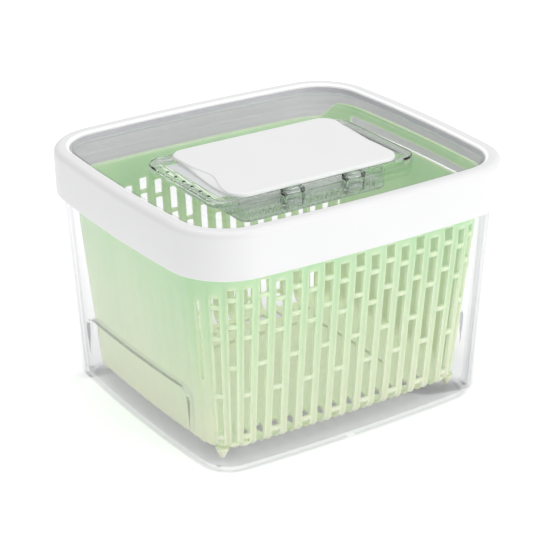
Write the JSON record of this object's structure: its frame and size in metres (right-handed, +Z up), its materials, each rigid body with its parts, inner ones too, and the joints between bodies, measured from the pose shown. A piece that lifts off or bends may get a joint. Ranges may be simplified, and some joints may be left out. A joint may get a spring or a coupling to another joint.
{
  "type": "produce keeper",
  "caption": "Clear lidded food bin with a slotted lift-out basket, and a sliding vent over a hinged cage for a carbon pouch.",
  "frame": {"origin": "centre of the bin's base, on the table", "axes": "+X along the long side, +Z up; -Y is the side with the filter cage's hinge, and the vent holes are at the -X end"},
  "size_m": [0.24, 0.21, 0.1625],
  "materials": {
    "clear_plastic": "clear, polished",
    "green_plastic": "pale green, semi-gloss",
    "white_plastic": "white, satin",
    "grey_silicone": "light grey, satin",
    "cage_plastic": "frosted clear",
    "pouch_cloth": "white non-woven cloth",
    "carbon": "black granules"
  },
  "bodies": {
    "bin": {"container": "clear_plastic"},
    "basket": {"basket": "green_plastic"},
    "lid": {"lid_frame": "white_plastic", "lid_window": "clear_plastic", "lid_seal": "grey_silicone", "filter_housing": "clear_plastic"},
    "slider": {"vent_slider": "white_plastic"},
    "filter_cage": {"filter_door": "cage_plastic", "filter_pouch": "pouch_cloth", "carbon_fill": "carbon"}
  },
  "joints": [
    {"name": "basket_lift", "type": "slide", "parent": "bin", "child": "basket", "axis": [0, 0, 1], "range_m": [0, 0.16]},
    {"name": "lid_lift", "type": "slide", "parent": "basket", "child": "lid", "axis": [0, 0, 1], "range_m": [0, 0.06]},
    {"name": "vent_slide", "type": "slide", "parent": "lid", "child": "slider", "axis": [1, 0, 0], "range_m": [-0.008, 0]},
    {"name": "filter_door_hinge", "type": "hinge", "parent": "lid", "child": "filter_cage", "pos_m": [0, -0.052, 0.1485], "axis": [-1, 0, 0], "range_deg": [0, 95]}
  ]
}
